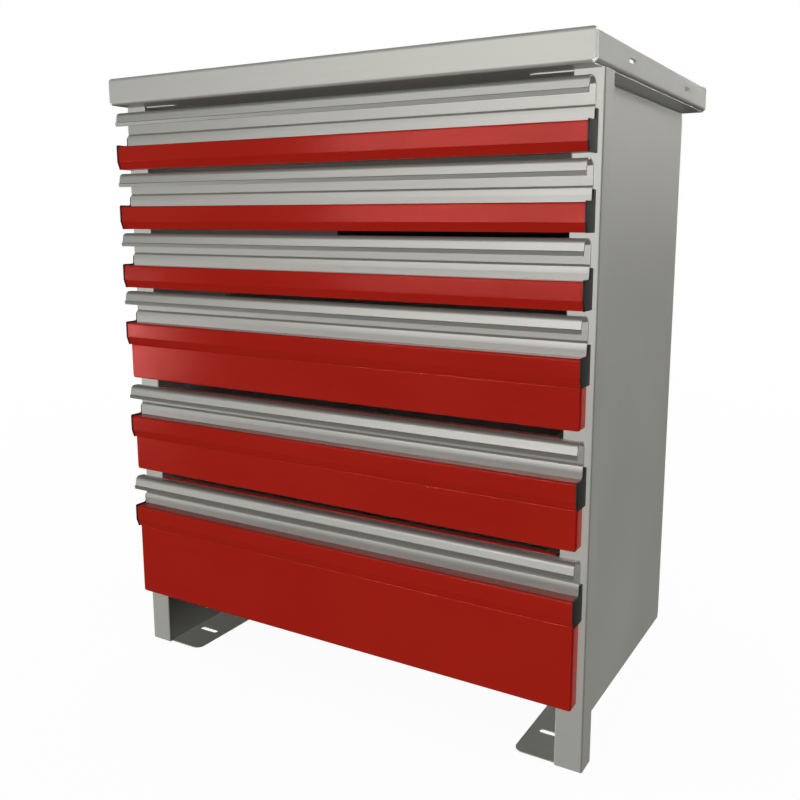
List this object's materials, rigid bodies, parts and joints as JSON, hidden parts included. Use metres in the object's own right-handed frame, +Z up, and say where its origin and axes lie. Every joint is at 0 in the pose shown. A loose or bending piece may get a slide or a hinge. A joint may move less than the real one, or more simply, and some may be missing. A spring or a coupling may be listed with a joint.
{
  "type": "drawer unit",
  "caption": "Free-standing steel drawer unit with an open lipped tray on top, folded side frames with slotted feet, and full-width grips on shallow and deep drawers.",
  "frame": {"origin": "on the floor, under the middle of the unit's whole box", "axes": "+Z up, -Y towards the drawer fronts, the way the drawers open, +X to the right of someone who faces them"},
  "size_m": [0.762, 0.543, 0.912],
  "materials": {
    "frame_grey": "satin powder coat, light warm grey",
    "back_dark": "matt black powder coat",
    "box_grey": "satin powder coat, grey",
    "grip_aluminium": "satin anodised extrusion",
    "front_red": "semi-gloss red powder coat",
    "strip_red": "semi-gloss red",
    "cap_black": "fine-textured black plastic",
    "rail_zinc": "zinc-plated rolled steel",
    "screw_zinc": "zinc-plated"
  },
  "bodies": {
    "cabinet": {"left_side_frame": "frame_grey", "right_side_frame": "frame_grey", "back_panel": "back_dark", "tray_floor": "frame_grey", "tray_left_end": "frame_grey", "tray_right_end": "frame_grey", "cabinet_screws": "screw_zinc", "left_cabinet_rails": "rail_zinc", "right_cabinet_rails": "rail_zinc"},
    "drawer_1": {"drawer_1_box": "box_grey", "drawer_1_front_wall": "front_red", "drawer_1_grip": "grip_aluminium", "drawer_1_colour_strip": "strip_red", "drawer_1_end_caps": "cap_black", "drawer_1_rails": "rail_zinc", "drawer_1_screws": "screw_zinc"},
    "mid_rails_1": {"mid_rails_1": "rail_zinc"},
    "drawer_2": {"drawer_2_box": "box_grey", "drawer_2_front_wall": "front_red", "drawer_2_grip": "grip_aluminium", "drawer_2_colour_strip": "strip_red", "drawer_2_end_caps": "cap_black", "drawer_2_rails": "rail_zinc", "drawer_2_screws": "screw_zinc"},
    "mid_rails_2": {"mid_rails_2": "rail_zinc"},
    "drawer_3": {"drawer_3_box": "box_grey", "drawer_3_front_wall": "front_red", "drawer_3_grip": "grip_aluminium", "drawer_3_colour_strip": "strip_red", "drawer_3_end_caps": "cap_black", "drawer_3_rails": "rail_zinc", "drawer_3_screws": "screw_zinc"},
    "mid_rails_3": {"mid_rails_3": "rail_zinc"},
    "drawer_4": {"drawer_4_box": "box_grey", "drawer_4_front_wall": "front_red", "drawer_4_grip": "grip_aluminium", "drawer_4_colour_strip": "strip_red", "drawer_4_end_caps": "cap_black", "drawer_4_rails": "rail_zinc", "drawer_4_screws": "screw_zinc", "drawer_4_lower_panel": "front_red"},
    "mid_rails_4": {"mid_rails_4": "rail_zinc"},
    "drawer_5": {"drawer_5_box": "box_grey", "drawer_5_front_wall": "front_red", "drawer_5_grip": "grip_aluminium", "drawer_5_colour_strip": "strip_red", "drawer_5_end_caps": "cap_black", "drawer_5_rails": "rail_zinc", "drawer_5_screws": "screw_zinc", "drawer_5_lower_panel": "front_red"},
    "mid_rails_5": {"mid_rails_5": "rail_zinc"},
    "drawer_6": {"drawer_6_box": "box_grey", "drawer_6_front_wall": "front_red", "drawer_6_grip": "grip_aluminium", "drawer_6_colour_strip": "strip_red", "drawer_6_end_caps": "cap_black", "drawer_6_rails": "rail_zinc", "drawer_6_screws": "screw_zinc", "drawer_6_lower_panel": "front_red"},
    "mid_rails_6": {"mid_rails_6": "rail_zinc"}
  },
  "joints": [
    {"name": "drawer_1_slide", "type": "slide", "parent": "cabinet", "child": "drawer_1", "axis": [0, -1, 0], "range_m": [0, 0.45]},
    {"name": "mid_rails_1_slide", "type": "slide", "parent": "cabinet", "child": "mid_rails_1", "axis": [0, -1, 0], "range_m": [0, 0.225]},
    {"name": "drawer_2_slide", "type": "slide", "parent": "cabinet", "child": "drawer_2", "axis": [0, -1, 0], "range_m": [0, 0.45]},
    {"name": "mid_rails_2_slide", "type": "slide", "parent": "cabinet", "child": "mid_rails_2", "axis": [0, -1, 0], "range_m": [0, 0.225]},
    {"name": "drawer_3_slide", "type": "slide", "parent": "cabinet", "child": "drawer_3", "axis": [0, -1, 0], "range_m": [0, 0.45]},
    {"name": "mid_rails_3_slide", "type": "slide", "parent": "cabinet", "child": "mid_rails_3", "axis": [0, -1, 0], "range_m": [0, 0.225]},
    {"name": "drawer_4_slide", "type": "slide", "parent": "cabinet", "child": "drawer_4", "axis": [0, -1, 0], "range_m": [0, 0.45]},
    {"name": "mid_rails_4_slide", "type": "slide", "parent": "cabinet", "child": "mid_rails_4", "axis": [0, -1, 0], "range_m": [0, 0.225]},
    {"name": "drawer_5_slide", "type": "slide", "parent": "cabinet", "child": "drawer_5", "axis": [0, -1, 0], "range_m": [0, 0.45]},
    {"name": "mid_rails_5_slide", "type": "slide", "parent": "cabinet", "child": "mid_rails_5", "axis": [0, -1, 0], "range_m": [0, 0.225]},
    {"name": "drawer_6_slide", "type": "slide", "parent": "cabinet", "child": "drawer_6", "axis": [0, -1, 0], "range_m": [0, 0.45]},
    {"name": "mid_rails_6_slide", "type": "slide", "parent": "cabinet", "child": "mid_rails_6", "axis": [0, -1, 0], "range_m": [0, 0.225]}
  ],
  "couplings": [
    {"joint": "mid_rails_1_slide", "follows": "drawer_1_slide", "ratio": 0.5},
    {"joint": "mid_rails_2_slide", "follows": "drawer_2_slide", "ratio": 0.5},
    {"joint": "mid_rails_3_slide", "follows": "drawer_3_slide", "ratio": 0.5},
    {"joint": "mid_rails_4_slide", "follows": "drawer_4_slide", "ratio": 0.5},
    {"joint": "mid_rails_5_slide", "follows": "drawer_5_slide", "ratio": 0.5},
    {"joint": "mid_rails_6_slide", "follows": "drawer_6_slide", "ratio": 0.5}
  ]
}
